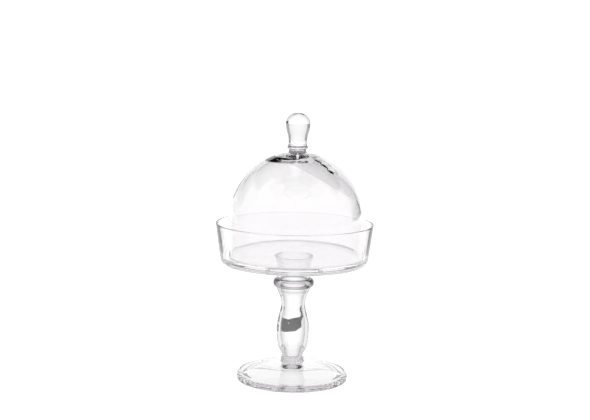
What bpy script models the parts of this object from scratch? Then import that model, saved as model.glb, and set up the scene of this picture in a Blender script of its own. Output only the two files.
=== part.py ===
"""Glass cake stand with a domed lid.

A footed tray stands on a hollow baluster stem, and a blown dome with a solid knob rests on
the tray's floor, inside its wall, and lifts straight off. Every part is a turned glass solid.
Dimensions are in millimetres and are turned into metres as each outline is made.
"""

import math

import bpy

MM = 0.001
SEAM = 0.3              # clearance between one solid and the next

# Heights above the surface that the foot stands on
FOOT_TOP = 18.5
RINGS_TOP = 24.6
STEM_TOP = 101.7
COLLAR_TOP = 111.0
NECK_TOP = 127.2
FLOOR_TOP = 134.0       # the tray's inside floor
RIM_TOP = 171.2         # the tray's rim
DOME_SPRING = 170.0     # the dome's straight wall ends and its curve begins
DOME_TOP = 248.0
SEAT_TOP = 250.1
KNOB_TOP = 289.5

# Foot
FOOT_RADIUS = 60.5
FOOT_SHOULDER = (5.0, 5.6)  # half-axes of the round edge's upper part
FOOT_HEEL = (2.6, 2.2)  # half-axes of its lower part
FOOT_EDGE = 1.2         # upright side between the two
FOOT_RING_INNER = 56.5  # inside of the flat ring that it stands on
FOOT_HOLLOW = 11.0      # rise of the hollow under it

# Stem and its joints
RINGS_RADIUS = 12.4
RINGS_DEPTH = 0.5
RINGS_COUNT = 2
STEM_WALL = 3.0
COLLAR_RADIUS = 22.1
COLLAR_FACE = 18.8      # radius of the collar's flat ends
NECK_FLARE = 21.0
BORE_RADIUS = 14.4      # the stem's bore goes on through the collar
BORE_FLARE = 17.4       # and opens out under the tray

# Tray
TRAY_RIM_RADIUS = 85.0
TRAY_BASE_RADIUS = 80.2
TRAY_WALL = 3.4         # thickness at the foot of the wall
TRAY_LIP = 0.7          # radius of the wall's thin rim
TRAY_HEEL = 6.5         # radius of the outside corner
TRAY_FILLET = 3.0       # radius of the inside corner

# Dome
DOME_RADIUS = 73.5
DOME_WALL = 3.6
CROWN_FLAT = 19.0       # radius of the flat inside of the thick crown
CROWN_DEPTH = 8.8       # thickness of the glass at the crown's centre
DOME_OFFSET = 1.6       # the lid rests a little off the stand's centre

# Knob
SEAT_RADIUS = 11.0      # where the pad meets the dome
KNOB_BASE_RADIUS = 9.2
KNOB_FLANGE_RADIUS = 11.1   # just above the base

LARGE_STEPS = 48        # sides of the wide pieces
SMALL_STEPS = 32        # sides of the slim ones

PARTS_NAME = "cake_stand_dome"


def arc(centre, radii, start, end, count):
    """Points on an ellipse's arc about centre, from one angle to another, in degrees."""
    points = []
    for i in range(count + 1):
        angle = math.radians(start + (end - start) * i / count)
        points.append((centre[0] + radii[0] * math.cos(angle),
                       centre[1] + radii[1] * math.sin(angle)))
    return points


def smooth(points, per_span=2):
    """Points of a Catmull-Rom curve that passes through the given points."""
    ends = [points[0], *points, points[-1]]
    curve = []
    for before, first, last, after in zip(ends, ends[1:], ends[2:], ends[3:]):
        for i in range(per_span):
            t = i / per_span
            curve.append(tuple(
                0.5 * (2 * b + (c - a) * t + (2 * a - 5 * b + 4 * c - d) * t ** 2
                       + (3 * b - a - 3 * c + d) * t ** 3)
                for a, b, c, d in zip(before, first, last, after)))
    curve.append(points[-1])
    return curve


def glass(name, colour, roughness):
    """A clear glass material."""
    material = bpy.data.materials.new(name)
    material.use_nodes = True
    shader = material.node_tree.nodes["Principled BSDF"]
    shader.inputs["Base Color"].default_value = (*colour, 1.0)
    shader.inputs["Roughness"].default_value = roughness
    shader.inputs["Metallic"].default_value = 0.0
    shader.inputs["Transmission Weight"].default_value = 1.0
    shader.inputs["IOR"].default_value = 1.51
    return material


def turned(name, outline, steps, material, parent, closed=False):
    """Turn an outline of (radius, height) points about the parent's axis into a solid."""
    edges = [(i, i + 1) for i in range(len(outline) - 1)]
    if closed:
        edges.append((len(outline) - 1, 0))
    mesh = bpy.data.meshes.new(name)
    mesh.from_pydata([(r * MM, 0.0, z * MM) for r, z in outline], edges, [])
    mesh.materials.append(material)
    piece = bpy.data.objects.new(name, mesh)
    bpy.data.collections[PARTS_NAME].objects.link(piece)
    piece.parent = parent
    screw = piece.modifiers.new("turn", "SCREW")
    screw.axis = "Z"
    screw.angle = math.tau
    screw.steps = steps
    screw.render_steps = steps
    screw.use_merge_vertices = True
    screw.merge_threshold = 0.00001
    screw.use_smooth_shade = True
    return piece


def axis_empty(name, x):
    """An empty on a vertical axis, which carries the parts that move together."""
    empty = bpy.data.objects.new(name, None)
    empty.location = (x * MM, 0.0, 0.0)
    bpy.data.collections[PARTS_NAME].objects.link(empty)
    return empty


def foot_outline():
    """A wide bell-like disc with a round edge, a sloping top and a deep hollow underneath."""
    shoulder = (FOOT_RADIUS - FOOT_SHOULDER[0], FOOT_HEEL[1] + FOOT_EDGE)
    heel = (FOOT_RADIUS - FOOT_HEEL[0], FOOT_HEEL[1])
    upper_edge = arc(shoulder, FOOT_SHOULDER, 74, 0, 5)
    lower_edge = arc(heel, FOOT_HEEL, 0, -90, 4)
    slope = smooth([(13.4, FOOT_TOP - 0.5), (17.0, FOOT_TOP - 1.2), (21.0, FOOT_TOP - 1.9),
                    (33.0, FOOT_TOP - 4.6), (46.0, FOOT_TOP - 7.8), upper_edge[0]])
    hollow = [(FOOT_RING_INNER, 0.0)]
    for radius in (54.0, 50.0, 45.0, 38.0, 29.0, 19.0, 9.0, 0.0):
        fall = (radius / FOOT_RING_INNER) ** 2
        hollow.append((radius, FOOT_HOLLOW * (1 - fall) ** 1.1))
    return [(0.0, FOOT_TOP), (RINGS_RADIUS, FOOT_TOP), *slope, *upper_edge[1:], *lower_edge,
            *hollow]


def rings_outline():
    """The small stack of rings that joins the stem to the foot."""
    bottom = FOOT_TOP + SEAM
    points = []
    count = 5 * RINGS_COUNT
    for i in range(count + 1):
        phase = math.tau * (RINGS_COUNT * i / count) - math.pi / 2
        points.append((RINGS_RADIUS + RINGS_DEPTH * math.sin(phase),
                       RINGS_TOP + (bottom - RINGS_TOP) * i / count))
    return [(0.0, RINGS_TOP), *points, (0.0, bottom)]


def stem_outline():
    """A hollow baluster, open at both ends: a flared top, a waist and a full belly."""
    bottom = RINGS_TOP + SEAM
    outside = smooth([(18.8, STEM_TOP), (16.1, 95.5), (13.0, 84.4), (14.1, 75.0),
                      (16.3, 66.7), (17.5, 54.0), (16.9, 41.0), (14.0, 32.0),
                      (11.4, 27.6), (11.2, bottom)])
    inside = smooth([(7.2, bottom), (7.6, 29.0), (10.6, 35.0), (17.0 - STEM_WALL - 0.6, 44.0),
                     (17.4 - STEM_WALL - 0.6, 55.0), (16.0 - STEM_WALL, 66.7),
                     (13.2 - STEM_WALL, 80.0), (13.6 - STEM_WALL, 88.0), (14.4, STEM_TOP)])
    return outside + inside


def collar_outline():
    """A bead with flat ends and a full round edge, with the stem's bore through it."""
    bottom = STEM_TOP + SEAM
    half = (COLLAR_TOP - bottom) / 2
    edge = arc((COLLAR_FACE, bottom + half), (COLLAR_RADIUS - COLLAR_FACE, half), 90, -90, 8)
    return [*edge, (BORE_RADIUS, bottom), (BORE_RADIUS, COLLAR_TOP)]


def neck_outline():
    """A short hollow neck that flares to meet the tray's underside."""
    bottom = COLLAR_TOP + SEAM
    outside = smooth([(NECK_FLARE, NECK_TOP), (18.9, 122.0), (17.7, 116.0), (17.6, bottom)])
    inside = smooth([(BORE_RADIUS, bottom), (14.6, 117.0), (15.6, 123.0), (BORE_FLARE, NECK_TOP)])
    return outside + inside


def tray_outline():
    """A shallow dish: flat floor, leaning wall that thins upwards and a fire-polished rim."""
    bottom = NECK_TOP + SEAM
    inner_base = TRAY_BASE_RADIUS - TRAY_WALL
    fillet = arc((inner_base - TRAY_FILLET, FLOOR_TOP + TRAY_FILLET),
                 (TRAY_FILLET, TRAY_FILLET), -90, 0, 4)
    rim_arc = arc((TRAY_RIM_RADIUS - TRAY_LIP, RIM_TOP - TRAY_LIP), (TRAY_LIP, TRAY_LIP),
                  172, -8, 6)
    heel = arc((TRAY_BASE_RADIUS - TRAY_HEEL, bottom + TRAY_HEEL),
               (TRAY_HEEL, TRAY_HEEL), 0, -90, 5)
    return [(0.0, FLOOR_TOP), *fillet, *rim_arc, *heel, (0.0, bottom)]


def dome_outline():
    """A bell: straight wall, elliptical top and a thick crown, almost flat inside."""
    bottom = FLOOR_TOP + SEAM
    lip = DOME_WALL / 2
    outside = arc((0.0, DOME_SPRING), (DOME_RADIUS, DOME_TOP - DOME_SPRING), 90, 0, 13)
    outside[0] = (0.0, DOME_TOP)
    lip_arc = arc((DOME_RADIUS - lip, bottom + lip), (lip, lip), 0, -180, 6)
    inner_radius = DOME_RADIUS - DOME_WALL
    inner_height = DOME_TOP - DOME_WALL - DOME_SPRING
    wall = arc((0.0, DOME_SPRING), (inner_radius, inner_height), 0, 64, 9)
    ceiling = DOME_TOP - CROWN_DEPTH
    crown = [(28.0, ceiling - 1.35), (25.5, ceiling - 0.55), (22.5, ceiling - 0.1),
             (CROWN_FLAT, ceiling), (0.0, ceiling)]
    return outside + lip_arc + wall + crown


def seat_outline():
    """A thin pad of glass between the dome's crown and the knob, with a hollow-ground edge."""
    under = []
    for i in range(4):
        radius = SEAT_RADIUS * (1 - i / 3)
        curve = (DOME_TOP - DOME_SPRING) * math.sqrt(1 - (radius / DOME_RADIUS) ** 2)
        under.append((radius, DOME_SPRING + curve + SEAM))
    low = under[0][1]
    edge = smooth([(KNOB_BASE_RADIUS, SEAT_TOP), (9.3, SEAT_TOP - 0.8), (9.8, low + 0.7),
                   (SEAT_RADIUS, low + 0.3)])
    return [(0.0, SEAT_TOP), *edge, *under]


def knob_outline():
    """A solid drop: a small flange, a slim waist and a full round head."""
    bottom = SEAT_TOP + SEAM
    head = arc((0.0, 278.0), (13.3, KNOB_TOP - 278.0), 90, 0, 7)
    head[0] = (0.0, KNOB_TOP)
    body = smooth([(13.3, 278.0), (12.6, 272.0), (10.8, 266.0), (10.0, 260.0),
                   (9.95, 257.0), (10.2, 255.0), (KNOB_FLANGE_RADIUS, 252.8), (10.8, 251.8),
                   (9.5, 251.0), (KNOB_BASE_RADIUS, bottom)])
    return head[:-1] + body + [(0.0, bottom)]


def build():
    for old in list(bpy.data.objects):
        bpy.data.objects.remove(old, do_unlink=True)
    parts = bpy.data.collections.new(PARTS_NAME)
    bpy.context.scene.collection.children.link(parts)

    stand = axis_empty("stand_axis", 0.0)
    lid = axis_empty("lift_axis", DOME_OFFSET)
    pressed = glass("stand_glass", (0.975, 0.98, 0.985), 0.02)
    blown = glass("dome_glass", (0.985, 0.985, 0.995), 0.01)
    solid = glass("solid_glass", (0.97, 0.97, 0.98), 0.01)

    turned("foot", foot_outline(), LARGE_STEPS, pressed, stand)
    turned("foot_joint", rings_outline(), SMALL_STEPS, solid, stand)
    turned("stem", stem_outline(), SMALL_STEPS, pressed, stand, closed=True)
    turned("stem_collar", collar_outline(), SMALL_STEPS, solid, stand, closed=True)
    turned("tray_neck", neck_outline(), SMALL_STEPS, solid, stand, closed=True)
    turned("tray", tray_outline(), LARGE_STEPS, pressed, stand)
    turned("dome", dome_outline(), LARGE_STEPS, blown, lid)
    turned("knob_seat", seat_outline(), SMALL_STEPS, blown, lid)
    turned("knob", knob_outline(), SMALL_STEPS, solid, lid)


build()
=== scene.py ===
"""Looks of the domed glass cake stand.

Each CAD solid is replaced by a finely turned glass piece with a slight hand-made waviness.
Pieces that were fused hot share a seam with no surface of its own, so light passes through
them as through one lump of glass. The studio is a white tent with dark flags above the object
and around its crown, which only the glass sees. It stays put when the camera moves.
Outlines are (radius, height) in millimetres.
"""

import math

import bmesh
import bpy
from mathutils import Matrix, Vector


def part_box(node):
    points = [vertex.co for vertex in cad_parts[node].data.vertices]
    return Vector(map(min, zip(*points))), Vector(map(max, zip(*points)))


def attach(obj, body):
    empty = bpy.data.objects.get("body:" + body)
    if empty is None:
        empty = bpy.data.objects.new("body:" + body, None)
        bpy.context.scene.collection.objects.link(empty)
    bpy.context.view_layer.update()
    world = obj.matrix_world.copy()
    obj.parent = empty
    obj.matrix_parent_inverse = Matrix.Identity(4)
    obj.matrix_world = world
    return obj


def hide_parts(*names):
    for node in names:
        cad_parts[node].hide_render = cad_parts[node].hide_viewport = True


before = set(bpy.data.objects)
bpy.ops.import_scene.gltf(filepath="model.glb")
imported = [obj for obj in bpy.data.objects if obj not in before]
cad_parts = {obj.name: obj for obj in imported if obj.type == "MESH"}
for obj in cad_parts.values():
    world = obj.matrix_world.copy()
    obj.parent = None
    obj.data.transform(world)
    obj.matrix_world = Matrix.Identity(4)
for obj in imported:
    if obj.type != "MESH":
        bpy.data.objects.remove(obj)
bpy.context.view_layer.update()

MM = 0.001
SEGMENTS = 192          # sides of every turned piece
SKIN, SEAM = 0, 1       # a piece's material slots


# ---------------------------------------------------------------- outlines

def arc(centre, radii, start, end, count=24):
    """Points on an ellipse's arc about centre, from one angle to another, in degrees."""
    points = []
    for i in range(count + 1):
        angle = math.radians(start + (end - start) * i / count)
        points.append((centre[0] + radii[0] * math.cos(angle),
                       centre[1] + radii[1] * math.sin(angle)))
    return points


def spline(points, per_span=10, passes=6):
    """A dense, softly relaxed curve through the given points; its two ends stay put."""
    ends = [points[0], *points, points[-1]]
    curve = []
    for before, first, last, after in zip(ends, ends[1:], ends[2:], ends[3:]):
        for i in range(per_span):
            t = i / per_span
            curve.append(tuple(
                0.5 * (2 * b + (c - a) * t + (2 * a - 5 * b + 4 * c - d) * t ** 2
                       + (3 * b - a - 3 * c + d) * t ** 3)
                for a, b, c, d in zip(before, first, last, after)))
    curve.append(points[-1])
    for _ in range(passes):
        middle = [tuple((a + 2 * b + c) / 4 for a, b, c in zip(*three))
                  for three in zip(curve, curve[1:], curve[2:])]
        curve = [curve[0], *middle, curve[-1]]
    return curve


def line(start, end, count=6):
    """Evenly spaced points from start to end."""
    return [tuple(a + (b - a) * i / count for a, b in zip(start, end))
            for i in range(count + 1)]


def top(node):
    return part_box(node)[1].z / MM


def bottom(node):
    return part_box(node)[0].z / MM


def radius(node):
    low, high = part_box(node)
    return (high.x - low.x) / 2 / MM


# ---------------------------------------------------------------- turned pieces

WAVES = [(2, 0.0011, 0.4, 0.013), (3, 0.0007, 2.1, -0.021), (5, 0.0003, 4.0, 0.05)]


def waviness(angle, height):
    """How much narrower the hand-made form is than a true circle there, as a share."""
    share = 0.0
    for count, depth, phase, twist in WAVES:
        share += depth * (1 + math.sin(count * angle + phase + twist * height))
    return 1 - share


LUMPS = [(26.5, 238.6), (34.5, 234.9), (42.0, 229.6)]     # thick spots inside the dome's crown
LUMP_ANGLE = math.radians(329)
LUMP_DEPTH, LUMP_WIDTH = 6.0, 3.2


def lump(r, z, angle):
    """How far the crown's thick spots stand in from its inside at a point."""
    across = r * (angle - LUMP_ANGLE)
    return LUMP_DEPTH * sum(
        math.exp(-(across ** 2 + (r - spot_r) ** 2 + (z - spot_z) ** 2) / LUMP_WIDTH ** 2)
        for spot_r, spot_z in LUMPS)


def turned(node, body, stretches, axis_x=0.0, loop=False):
    """A closed piece turned about a vertical axis, which stands for a CAD node.

    Each stretch is (material slot, points) and starts where the one before it ends. The
    outline runs down the outer side, and a loop's last point is its first. A point of the
    dome's inside adds how far its ring sits off the axis, along X, and gets the lumps too.
    """
    outline, slots = [stretches[0][1][0]], []
    for slot, points in stretches:
        outline += points[1:]
        slots += [slot] * (len(points) - 1)
    if loop:
        outline.pop()
    rings = []
    model = bmesh.new()
    for r, z, *slump in outline:
        ring = []
        shift = slump[0] if slump else 0.0
        centre = (axis_x + shift) * MM
        if r < 1e-6:
            ring.append(model.verts.new((centre, 0.0, z * MM)))
        else:
            for i in range(SEGMENTS):
                angle = math.tau * i / SEGMENTS
                reach = r * waviness(angle, z) * MM
                if slump:
                    reach -= lump(r + shift, z, angle) * MM
                ring.append(model.verts.new((centre + reach * math.cos(angle),
                                             reach * math.sin(angle), z * MM)))
        rings.append(ring)
    if loop:
        rings.append(rings[0])
    for upper, lower, slot in zip(rings, rings[1:], slots):
        for i in range(SEGMENTS):
            j = (i + 1) % SEGMENTS
            if len(upper) == 1:
                corners = (upper[0], lower[i], lower[j])
            elif len(lower) == 1:
                corners = (upper[i], lower[0], upper[j])
            else:
                corners = (upper[i], lower[i], lower[j], upper[j])
            model.faces.new(corners).material_index = slot
    mesh = bpy.data.meshes.new(node + "_glass")
    model.to_mesh(mesh)
    model.free()
    mesh.shade_smooth()
    mesh.set_sharp_from_angle(angle=math.radians(35))
    piece = bpy.data.objects.new(node + "_glass", mesh)
    bpy.context.scene.collection.objects.link(piece)
    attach(piece, body)
    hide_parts(node)
    return piece


# ---------------------------------------------------------------- materials

def material(name):
    made = bpy.data.materials.new(name)
    made.use_nodes = True
    made.node_tree.nodes.clear()
    return made, made.node_tree.nodes, made.node_tree.links


def paint_edge_shade(nodes, links, shader, skin_tint, share, sharpness):
    """Paints shade into the glass's colour where it is seen side on: a painted dark outline, in
    place of the dark sides of a studio.
    """
    slant = nodes.new("ShaderNodeLayerWeight")
    slant.inputs["Blend"].default_value = 0.5
    sharpen = nodes.new("ShaderNodeMath")
    sharpen.operation = "POWER"
    sharpen.inputs[1].default_value = sharpness
    tint = nodes.new("ShaderNodeMixRGB")
    tint.inputs["Color1"].default_value = (*skin_tint, 1.0)
    tint.inputs["Color2"].default_value = (*(share * part for part in skin_tint), 1.0)
    links.new(slant.outputs["Facing"], sharpen.inputs[0])
    links.new(sharpen.outputs["Value"], tint.inputs["Fac"])
    links.new(tint.outputs["Color"], shader.inputs["Base Color"])


def glass(name, skin_tint, edge, smoke, smear, wave_size, wave_depth, stretch):
    """Clear glass with a faint hand-made ripple and a trace of smears.

    Edge is the share of the tint that is left where the surface is seen side on, and how
    sharply it sets in: a painted dark outline, painted shade in the glass's colour. Smoke is a
    density per metre, which shows where the light's path through the glass is long, as at a
    rim. Smear is its roughness where the smears are thickest. The ripple's size and depth are
    in metres, and stretch scales it along X, Y and Z.
    """
    made, nodes, links = material(name)
    out = nodes.new("ShaderNodeOutputMaterial")
    shader = nodes.new("ShaderNodeBsdfPrincipled")
    shader.inputs["Base Color"].default_value = (*skin_tint, 1.0)
    shader.inputs["Transmission Weight"].default_value = 1.0
    shader.inputs["IOR"].default_value = 1.5
    links.new(shader.outputs["BSDF"], out.inputs["Surface"])
    # painted shade: a dark outline in the glass's colour where it is seen side on
    if edge:
        paint_edge_shade(nodes, links, shader, skin_tint, *edge)
    depth = nodes.new("ShaderNodeVolumeAbsorption")
    depth.inputs["Color"].default_value = (0.1, 0.0, 0.1, 1.0)
    depth.inputs["Density"].default_value = smoke
    links.new(depth.outputs["Volume"], out.inputs["Volume"])
    coords = nodes.new("ShaderNodeTexCoord")

    ripple_map = nodes.new("ShaderNodeMapping")
    ripple_map.inputs["Scale"].default_value = stretch
    ripple = nodes.new("ShaderNodeTexNoise")
    ripple.inputs["Scale"].default_value = 1 / wave_size
    ripple.inputs["Detail"].default_value = 1.0
    bump = nodes.new("ShaderNodeBump")
    bump.inputs["Strength"].default_value = 1.0
    bump.inputs["Distance"].default_value = wave_depth
    links.new(coords.outputs["Object"], ripple_map.inputs["Vector"])
    links.new(ripple_map.outputs["Vector"], ripple.inputs["Vector"])
    links.new(ripple.outputs["Fac"], bump.inputs["Height"])
    links.new(bump.outputs["Normal"], shader.inputs["Normal"])

    smears = nodes.new("ShaderNodeTexNoise")
    smears.inputs["Scale"].default_value = 60.0
    smears.inputs["Detail"].default_value = 5.0
    smears.inputs["Distortion"].default_value = 1.2
    levels = nodes.new("ShaderNodeMapRange")
    levels.inputs["From Min"].default_value = 0.45
    levels.inputs["From Max"].default_value = 0.8
    levels.inputs["To Min"].default_value = 0.0
    levels.inputs["To Max"].default_value = smear
    links.new(coords.outputs["Object"], smears.inputs["Vector"])
    links.new(smears.outputs["Fac"], levels.inputs["Value"])
    links.new(levels.outputs["Result"], shader.inputs["Roughness"])
    return made


def fused_seam():
    """No surface at all: two pieces of glass that were joined hot."""
    made, nodes, links = material("fused_seam")
    out = nodes.new("ShaderNodeOutputMaterial")
    clear = nodes.new("ShaderNodeBsdfTransparent")
    links.new(clear.outputs["BSDF"], out.inputs["Surface"])
    return made


RIPPLE = (0.022, 0.00008, (1, 1, 0.5))
DOME_RIPPLE = (0.035, 0.00008, (1, 1, 0.35))
SOLID_RIPPLE = (0.015, 0.00003, (1, 1, 0.7))
# The pair after each tint paints shade into the glass's colour where it is seen side on.
STAND_GLASS = glass("stand_glass", (0.992, 0.988, 0.992), (0.65, 3.0), 0.8, 0.03, *RIPPLE)
STEM_GLASS = glass("stem_glass", (0.945, 0.941, 0.945), (0.0, 1.3), 2.5, 0.03, *RIPPLE)
FOOT_GLASS = glass("foot_glass", (1.0, 0.997, 1.0), None, 3.0, 0.02, *RIPPLE)
DOME_GLASS = glass("dome_glass", (0.9, 0.894, 0.899), (0.8, 3.0), 2.5, 0.02, *DOME_RIPPLE)
SOLID_GLASS = glass("solid_glass", (0.972, 0.968, 0.972), (0.0, 1.2), 2.5, 0.01, *SOLID_RIPPLE)
BEAD_GLASS = glass("bead_glass", (0.972, 0.968, 0.972), (0.0, 1.0), 24.0, 0.01, *SOLID_RIPPLE)
NECK_GLASS = glass("neck_glass", (0.972, 0.968, 0.972), (0.0, 2.0), 2.5, 0.01, *SOLID_RIPPLE)
FUSED_SEAM = fused_seam()


def finish_piece(piece, skin):
    piece.data.materials.append(skin)
    piece.data.materials.append(FUSED_SEAM)


# ---------------------------------------------------------------- stand

RING_BASE = 11.9        # radius where the rings meet the foot
STEM_BASE = 11.2
BORE_BASE = 7.2
BORE_TOP = 14.4
STEM_TOP = 18.8
NECK_BASE = 17.6
NECK_TOP = 21.0
BORE_END = 17.4


def make_foot():
    outer, height = radius("foot"), top("foot")
    shoulder, heel = (5.0, 5.6), (2.6, 2.2)
    rim, hollow = outer - 3.6, 11.0
    upper_edge = arc((outer - shoulder[0], heel[1] + 1.2), shoulder, 74, 0)
    lower_edge = arc((outer - heel[0], heel[1]), heel, 0, -90)
    upper = spline([(RING_BASE, height), (13.4, height - 0.5), (17.0, height - 1.2),
                    (21.0, height - 1.9), (33.0, height - 4.6), (46.0, height - 7.8),
                    upper_edge[0]])
    side = line(upper_edge[-1], lower_edge[0], 4)
    under = spline([lower_edge[-1], *((r, hollow * (1 - (r / rim) ** 2) ** 1.1)
                                      for r in (55.5, 53, 50, 46, 40, 33, 26, 19, 12, 6, 0))])
    piece = turned("foot", "stand", [
        (SEAM, line((0.0, height), (RING_BASE, height))),
        (SKIN, upper), (SKIN, upper_edge), (SKIN, side), (SKIN, lower_edge), (SKIN, under)])
    finish_piece(piece, FOOT_GLASS)


def make_rings():
    low, high = top("foot"), top("foot_joint")
    side = []
    count = 96
    for i in range(count + 1):
        share = i / count
        swell = 0.5 - 0.5 * math.cos(math.tau * 2 * share)
        base = STEM_BASE + 0.3 + (RING_BASE - STEM_BASE - 0.3) * share
        side.append((base + 1.05 * swell ** 0.8, high + (low - high) * share))
    piece = turned("foot_joint", "stand", [
        (SKIN, line((0.0, high), (BORE_BASE, high))),
        (SEAM, line((BORE_BASE, high), side[0])),
        (SKIN, side),
        (SEAM, line((RING_BASE, low), (0.0, low)))])
    finish_piece(piece, SOLID_GLASS)


def make_stem():
    low, high = top("foot_joint"), top("stem")
    outside = spline([(STEM_TOP, high), (18.1, 99.6), (16.1, 95.5), (14.2, 90.0), (13.0, 84.4),
                      (13.2, 80.0), (14.2, 75.0), (16.3, 66.7), (17.4, 59.0), (17.5, 52.0),
                      (17.1, 43.0), (15.9, 36.6), (14.0, 32.2), (11.9, 28.4), (11.2, 26.4),
                      (STEM_BASE + 0.3, low)])
    inside = spline([(BORE_BASE, low), (7.0, 25.4), (7.3, 28.0), (9.2, 32.5), (11.8, 38.0),
                     (13.2, 45.0), (13.7, 53.0), (13.4, 61.0), (12.6, 67.5), (11.0, 75.0),
                     (10.3, 81.0), (10.3, 85.0), (11.4, 91.0), (13.0, 96.0), (BORE_TOP, high)])
    piece = turned("stem", "stand", [
        (SKIN, outside),
        (SEAM, line(outside[-1], (BORE_BASE, low))),
        (SKIN, inside),
        (SEAM, line((BORE_TOP, high), (STEM_TOP, high)))], loop=True)
    finish_piece(piece, STEM_GLASS)


def make_collar():
    low, high, outer = top("stem"), top("stem_collar"), radius("stem_collar")
    half = (high - low) / 2
    bead = arc((STEM_TOP, low + half), (outer - STEM_TOP, half), 78, -78, 36)
    upper = spline([(NECK_BASE, high), (18.2, high - 0.1), bead[0]], passes=3)
    lower = spline([bead[-1], (STEM_TOP, low)], passes=0)
    piece = turned("stem_collar", "stand", [
        (SEAM, line((BORE_TOP, high), (NECK_BASE, high))),
        (SKIN, upper), (SKIN, bead), (SKIN, lower),
        (SEAM, line((STEM_TOP, low), (BORE_TOP, low))),
        (SKIN, line((BORE_TOP, low), (BORE_TOP, high)))], loop=True)
    finish_piece(piece, BEAD_GLASS)


def make_neck():
    low, high = top("stem_collar"), top("tray_neck")
    side = spline([(NECK_TOP, high), (18.9, 122.0), (17.7, 116.0), (NECK_BASE, low)])
    inside = spline([(BORE_TOP, low), (14.6, 117.0), (15.6, 123.0), (BORE_END, high)])
    piece = turned("tray_neck", "stand", [
        (SEAM, line((BORE_END, high), (NECK_TOP, high))),
        (SKIN, side),
        (SEAM, line((NECK_BASE, low), (BORE_TOP, low))),
        (SKIN, inside)], loop=True)
    finish_piece(piece, NECK_GLASS)


def make_tray():
    low, high, outer = top("tray_neck"), top("tray"), radius("tray")
    floor = bottom("dome") - 0.3
    wall, heel, fillet, rim = 3.4, 6.5, 3.0, 0.7
    base = outer - 4.8
    inner = base - wall
    floor_line = line((0.0, floor), (inner - fillet, floor), 30)
    corner = arc((inner - fillet, floor + fillet), (fillet, fillet), -90, -7, 16)
    rim_arc = arc((outer - rim, high - rim), (rim, rim), 173, -7, 24)
    heel_arc = arc((base - heel, low + heel), (heel, heel), -7, -90, 20)
    inside = line(corner[-1], rim_arc[0], 30)
    outside = line(rim_arc[-1], heel_arc[0], 30)
    under = line(heel_arc[-1], (NECK_TOP, low), 30)
    joint = line((NECK_TOP, low), (BORE_END, low))
    piece = turned("tray", "stand", [
        (SKIN, floor_line), (SKIN, corner), (SKIN, inside), (SKIN, rim_arc), (SKIN, outside),
        (SKIN, heel_arc), (SKIN, under), (SEAM, joint), (SKIN, line((BORE_END, low), (0.0, low)))])
    finish_piece(piece, STAND_GLASS)


# ---------------------------------------------------------------- lid

LID_AXIS = (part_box("dome")[0].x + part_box("dome")[1].x) / 2 / MM
SPRING = top("tray") - 1.2      # height where the dome's upright side turns into its curve
SEAT_EDGE = 11.0        # radius where the seat meets the dome
CROWN_SHIFT = 3.4       # how far the inside of the crown sits off the lid's axis
KNOB_BASE = 9.2


def dome_height(r):
    """Height of the dome's outer surface at a radius, on its curved top."""
    return SPRING + (top("dome") - SPRING) * math.sqrt(1 - (r / radius("dome")) ** 2)


def crown_offset(z):
    """How far the inside of the crown has slumped off the lid's axis at a height."""
    return -CROWN_SHIFT * max(0.0, (z - 195.0) / 45.0) ** 1.5


def make_dome():
    outer, high, low = radius("dome"), top("dome"), bottom("dome")
    wall = 3.6
    lip = wall / 2
    start = math.degrees(math.acos(SEAT_EDGE / outer))
    cap = [(SEAT_EDGE * i / 8, dome_height(SEAT_EDGE * i / 8)) for i in range(9)]
    curve = arc((0.0, SPRING), (outer, high - SPRING), start, 0, 70)
    side = line((outer, SPRING), (outer, low + lip), 14)
    rim = arc((outer - lip, low + lip), (lip, lip), 0, -180, 20)
    inside = line((outer - wall, low + lip), (outer - wall, SPRING), 14)
    inner = arc((0.0, SPRING), (outer - wall, high - wall - SPRING), 0, 64, 60)
    ceiling = high - 8.8
    crown = spline([inner[-1], (28.0, ceiling - 1.35), (25.5, ceiling - 0.55),
                    (22.5, ceiling - 0.1), (19.0, ceiling), (10.0, ceiling), (0.0, ceiling)],
                   passes=3)
    inner, crown = ([(r, z, crown_offset(z)) for r, z in part] for part in (inner, crown))
    piece = turned("dome", "lid", [
        (SEAM, cap), (SKIN, [cap[-1], *curve[1:]]), (SKIN, side), (SKIN, rim),
        (SKIN, inside), (SKIN, inner), (SKIN, crown)], LID_AXIS)
    finish_piece(piece, DOME_GLASS)


def make_seat():
    high = top("knob_seat")
    edge_low = dome_height(SEAT_EDGE)
    edge = spline([(KNOB_BASE, high), (9.3, high - 0.8), (9.8, edge_low + 0.6),
                   (SEAT_EDGE, edge_low)], passes=4)
    under = [(SEAT_EDGE * (8 - i) / 8, dome_height(SEAT_EDGE * (8 - i) / 8)) for i in range(9)]
    piece = turned("knob_seat", "lid", [
        (SEAM, line((0.0, high), (KNOB_BASE, high))), (SKIN, edge), (SEAM, under)], LID_AXIS)
    finish_piece(piece, DOME_GLASS)


def make_knob():
    low, high, outer = top("knob_seat"), top("knob"), radius("knob")
    middle = high - 11.5
    head = arc((0.0, middle), (outer, high - middle), 90, 0, 40)
    head[0] = (0.0, high)
    body = spline([(outer, middle), (12.9, 273.5), (11.9, 269.2), (10.9, 266.0), (10.3, 262.8),
                   (9.95, 259.0), (9.95, 257.0), (10.2, 255.0), (10.9, 253.6), (11.1, 252.8),
                   (10.9, 251.9), (10.2, 251.2), (9.5, 250.7), (KNOB_BASE, low)])
    piece = turned("knob", "lid", [
        (SKIN, head), (SKIN, body), (SEAM, line((KNOB_BASE, low), (0.0, low)))], LID_AXIS)
    finish_piece(piece, SOLID_GLASS)


make_foot()
make_rings()
make_stem()
make_collar()
make_neck()
make_tray()
make_dome()
make_seat()
make_knob()


# ---------------------------------------------------------------- studio

WALL_SIDES = 24
SHADE_HEIGHT = -0.0001  # shades lie just above the floor and below the foot
BLACK, GREY = 0.03, 0.25


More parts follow.
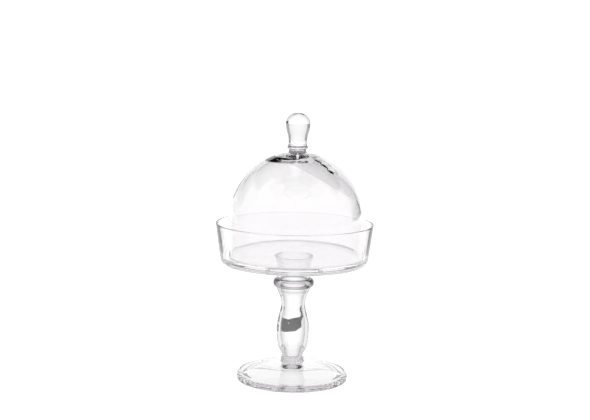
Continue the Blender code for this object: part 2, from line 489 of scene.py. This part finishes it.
def emitter(name, strength):
    made, nodes, links = material(name)
    out = nodes.new("ShaderNodeOutputMaterial")
    glow = nodes.new("ShaderNodeEmission")
    glow.inputs["Strength"].default_value = strength
    links.new(glow.outputs["Emission"], out.inputs["Surface"])
    return made


def make_world():
    world = bpy.data.worlds.new("white_tent")
    world.use_nodes = True
    world.node_tree.nodes["Background"].inputs["Color"].default_value = (1, 1, 1, 1)
    world.node_tree.nodes["Background"].inputs["Strength"].default_value = 1.05
    bpy.context.scene.world = world


def make_floor():
    """A pale matt floor, lit evenly from below and above so that it reads as white."""
    model = bmesh.new()
    bmesh.ops.create_grid(model, x_segments=8, y_segments=8, size=6.0)
    mesh = bpy.data.meshes.new("floor")
    model.to_mesh(mesh)
    model.free()
    floor = bpy.data.objects.new("floor", mesh)
    floor.location.z = -0.0002
    bpy.context.scene.collection.objects.link(floor)
    made, nodes, links = material("pale_floor")
    out = nodes.new("ShaderNodeOutputMaterial")
    add = nodes.new("ShaderNodeAddShader")
    glow = nodes.new("ShaderNodeEmission")
    glow.inputs["Strength"].default_value = 1.0
    matt = nodes.new("ShaderNodeBsdfDiffuse")
    matt.inputs["Color"].default_value = (0.25, 0.25, 0.25, 1.0)
    links.new(glow.outputs["Emission"], add.inputs[0])
    links.new(matt.outputs["BSDF"], add.inputs[1])
    links.new(add.outputs["Shader"], out.inputs["Surface"])
    floor.data.materials.append(made)


def make_camera():
    camera = bpy.data.objects.new("camera", bpy.data.cameras.new("camera"))
    camera.data.lens = 79.5
    camera.data.sensor_width = 36.0
    pitch, roll = math.radians(90 - 8.15), math.radians(1.1)
    camera.matrix_world = (Matrix.Translation((0.0, -1.382, 0.383))
                           @ Matrix.Rotation(pitch, 4, "X") @ Matrix.Rotation(roll, 4, "Z"))
    bpy.context.scene.collection.objects.link(camera)
    bpy.context.scene.camera = camera


def card(name, model, strength):
    """A glowing or dark card made of a bmesh, which only the glass sees."""
    mesh = bpy.data.meshes.new(name)
    model.to_mesh(mesh)
    model.free()
    piece = bpy.data.objects.new(name, mesh)
    bpy.context.scene.collection.objects.link(piece)
    piece.data.materials.append(emitter(name, strength))
    piece.visible_camera = False
    piece.visible_diffuse = False
    piece.visible_shadow = False


def wall(name, start, end, reach, low, high, strength):
    """A curved upright card around the object, from one bearing to another, in degrees.

    Bearing 0 is straight behind the object, 90 to its right and 180 behind the camera.
    """
    model = bmesh.new()
    rows = []
    for height in (low, high):
        bearings = [math.radians(start + (end - start) * i / WALL_SIDES)
                    for i in range(WALL_SIDES + 1)]
        rows.append([model.verts.new((reach * math.sin(b), reach * math.cos(b), height))
                     for b in bearings])
    for i in range(WALL_SIDES):
        model.faces.new((rows[0][i], rows[0][i + 1], rows[1][i + 1], rows[1][i]))
    card(name, model, strength)


def flat_card(name, corners, height, strength):
    """A level card with the given corners (x, y)."""
    model = bmesh.new()
    model.faces.new([model.verts.new((x, y, height)) for x, y in corners])
    card(name, model, strength)


def slab(name, near, far, height, strength):
    """A level card from one corner (x, y) to the other."""
    corners = [(near[0], near[1]), (far[0], near[1]), (far[0], far[1]), (near[0], far[1])]
    flat_card(name, corners, height, strength)


def floor_arc(name, inner, outer, start, end, strength):
    """A shaded strip of floor that follows the foot's rim."""
    count = max(6, int(abs(end - start) / 4))
    corners = [(x * MM, y * MM) for x, y in
               arc((0.0, 0.0), (inner, inner), start, end, count)
               + arc((0.0, 0.0), (outer, outer), end, start, count)]
    flat_card(name, corners, SHADE_HEIGHT, strength)


def make_flags():
    """Dark cards above the object and around its crown, which draw the glass's outlines.

    None stands low enough to be seen straight through the glass from the side. The crown flag
    is on the right only, and the floor flag draws the dark wing in the stem.
    """
    for side, word in ((-1, "left"), (1, "right")):
        wall("near_" + word, side * 34, side * 70, 0.5, 0.27, 0.6, 0.5)
        wall("crown_" + word, side * 5, side * 95, 0.35, 0.42, 0.8, BLACK)
        slab("canopy_" + word, (side * 0.05, -0.2), (side * 0.35, 0.35), 0.8, BLACK)
    wall("crown_flag", 40, 75, 0.5, 0.165, 0.27, BLACK)
    flat_card("floor_flag", [
        (-0.15, 0.2), (-0.05, 0.198), (0.01, 0.205), (0.05, 0.225), (0.13, 0.3), (0.13, 0.35),
        (0.04, 0.255), (-0.02, 0.233), (-0.07, 0.247), (-0.15, 0.29)],
        0.0012, 0.05)
    slab("front_ceiling", (-1.6, -1.6), (1.6, -0.2), 2.0, 0.7)


def make_foot_shades():
    """Painted shadow under the foot's rim, a dark card on the floor before it, and a disc of
    painted light inside the rim.
    """
    # painted shadow: dark cards on the floor under the foot's rim
    floor_arc("rim_shade_far", 54.0, 58.5, 0, 180, BLACK)
    floor_arc("rim_shade_near", 54.0, 58.5, 180, 360, BLACK)
    floor_arc("rim_shade_left", 49.0, 54.0, 185, 250, GREY)
    floor_arc("rim_shade_right", 49.0, 54.0, 290, 355, GREY)
    floor_arc("front_ring", 58.5, 85.0, 200, 340, BLACK)
    # painted light: a glowing disc under the foot, which only the glass sees
    glow = arc((0.0, 0.0), (48.0 * MM, 48.0 * MM), 0, 355, 71)
    flat_card("foot_glow", glow, SHADE_HEIGHT, 0.95)


def make_studio():
    make_world()
    make_floor()
    make_camera()
    make_flags()
    make_foot_shades()


make_studio()

scene = bpy.context.scene
scene.view_settings.view_transform = "Standard"
scene.cycles.max_bounces = 32
scene.cycles.transmission_bounces = 32
scene.cycles.transparent_max_bounces = 48
scene.cycles.glossy_bounces = 16
scene.cycles.caustics_reflective = True
scene.cycles.caustics_refractive = True

bpy.context.view_layer.update()
